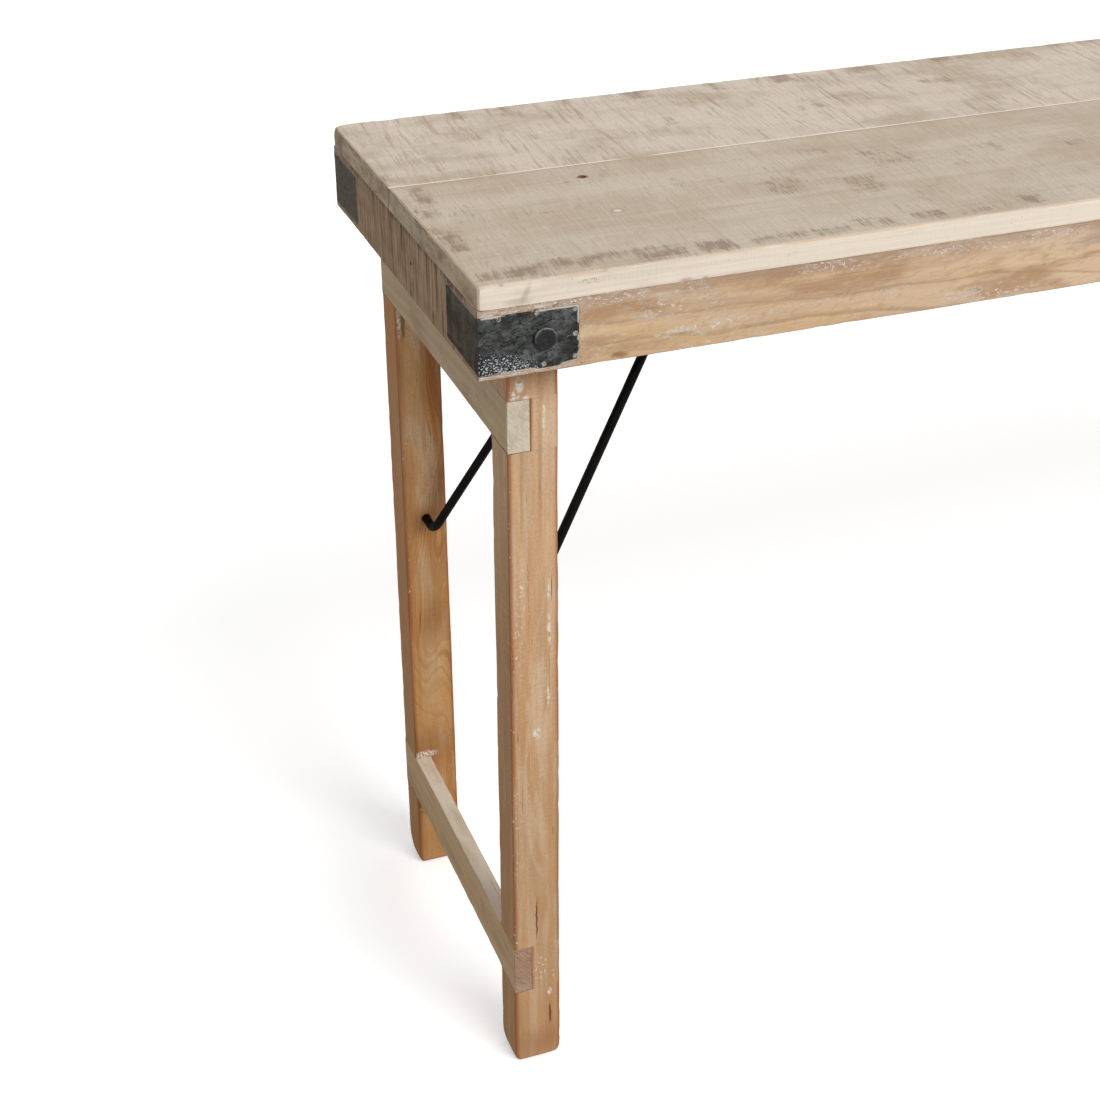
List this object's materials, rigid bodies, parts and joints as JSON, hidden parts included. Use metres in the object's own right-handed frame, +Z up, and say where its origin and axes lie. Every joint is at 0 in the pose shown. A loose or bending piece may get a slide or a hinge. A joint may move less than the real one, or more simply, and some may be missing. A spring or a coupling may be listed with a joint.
{
  "type": "folding console table",
  "caption": "Long narrow wooden folding table: plank top on shallow aprons, leg frames on pivot bolts that fold inside, and bent iron stays hooked into the legs.",
  "frame": {"origin": "on the floor, under the middle of the top", "axes": "+X along the length of the top, +Y to the back, +Z up"},
  "size_m": [1.8004, 0.3904, 0.77],
  "materials": {
    "top_wood": "worn, scrubbed and unvarnished",
    "side_wood": "planed, dull old oil",
    "end_wood": "rough-sawn and dirty",
    "batten_wood": "rough-sawn",
    "leg_wood": "planed, dull old oil",
    "rail_wood": "dry, pale and unvarnished",
    "corner_iron": "dark, scratched sheet iron",
    "bolt_steel": "dull dark zinc",
    "stay_iron": "satin black",
    "clip_steel": "dull zinc"
  },
  "bodies": {
    "table": {"top_board_front": "top_wood", "top_board_back": "top_wood", "front_apron": "side_wood", "back_apron": "side_wood", "end_apron_left": "end_wood", "end_apron_right": "end_wood", "batten_left": "batten_wood", "batten_middle": "batten_wood", "batten_right": "batten_wood", "corner_plate_left_front": "corner_iron", "corner_plate_left_back": "corner_iron", "corner_plate_right_front": "corner_iron", "corner_plate_right_back": "corner_iron", "pivot_bolt_left_front": "bolt_steel", "pivot_bolt_left_back": "bolt_steel", "pivot_bolt_right_front": "bolt_steel", "pivot_bolt_right_back": "bolt_steel", "pivot_washer_left_front": "bolt_steel", "pivot_washer_left_back": "bolt_steel", "pivot_washer_right_front": "bolt_steel", "pivot_washer_right_back": "bolt_steel", "pivot_nut_left_front": "bolt_steel", "pivot_nut_left_back": "bolt_steel", "pivot_nut_right_front": "bolt_steel", "pivot_nut_right_back": "bolt_steel", "stay_clip_left_front": "clip_steel", "stay_clip_left_back": "clip_steel", "stay_clip_right_front": "clip_steel", "stay_clip_right_back": "clip_steel", "clip_screw_left_1": "clip_steel", "clip_screw_left_2": "clip_steel", "clip_screw_left_3": "clip_steel", "clip_screw_left_4": "clip_steel", "clip_screw_right_1": "clip_steel", "clip_screw_right_2": "clip_steel", "clip_screw_right_3": "clip_steel", "clip_screw_right_4": "clip_steel"},
    "left_leg_frame": {"leg_left_front": "leg_wood", "leg_left_back": "leg_wood", "upper_rail_left": "rail_wood", "lower_rail_left": "rail_wood"},
    "right_leg_frame": {"leg_right_front": "leg_wood", "leg_right_back": "leg_wood", "upper_rail_right": "rail_wood", "lower_rail_right": "rail_wood"},
    "left_stay": {"stay_left": "stay_iron"},
    "right_stay": {"stay_right": "stay_iron"}
  },
  "joints": [
    {"name": "leg_fold_left", "type": "hinge", "parent": "table", "child": "left_leg_frame", "pos_m": [-0.8507, 0, 0.7255], "axis": [0, -1, 0], "range_deg": [0, 90]},
    {"name": "leg_fold_right", "type": "hinge", "parent": "table", "child": "right_leg_frame", "pos_m": [0.8507, 0, 0.7255], "axis": [0, 1, 0], "range_deg": [0, 90]},
    {"name": "stay_swing_left", "type": "hinge", "parent": "table", "child": "left_stay", "pos_m": [-0.664, 0, 0.7317], "axis": [0, -1, 0], "range_deg": [0, 119.5]},
    {"name": "stay_swing_right", "type": "hinge", "parent": "table", "child": "right_stay", "pos_m": [0.664, 0, 0.7317], "axis": [0, 1, 0], "range_deg": [0, 119.5]}
  ]
}
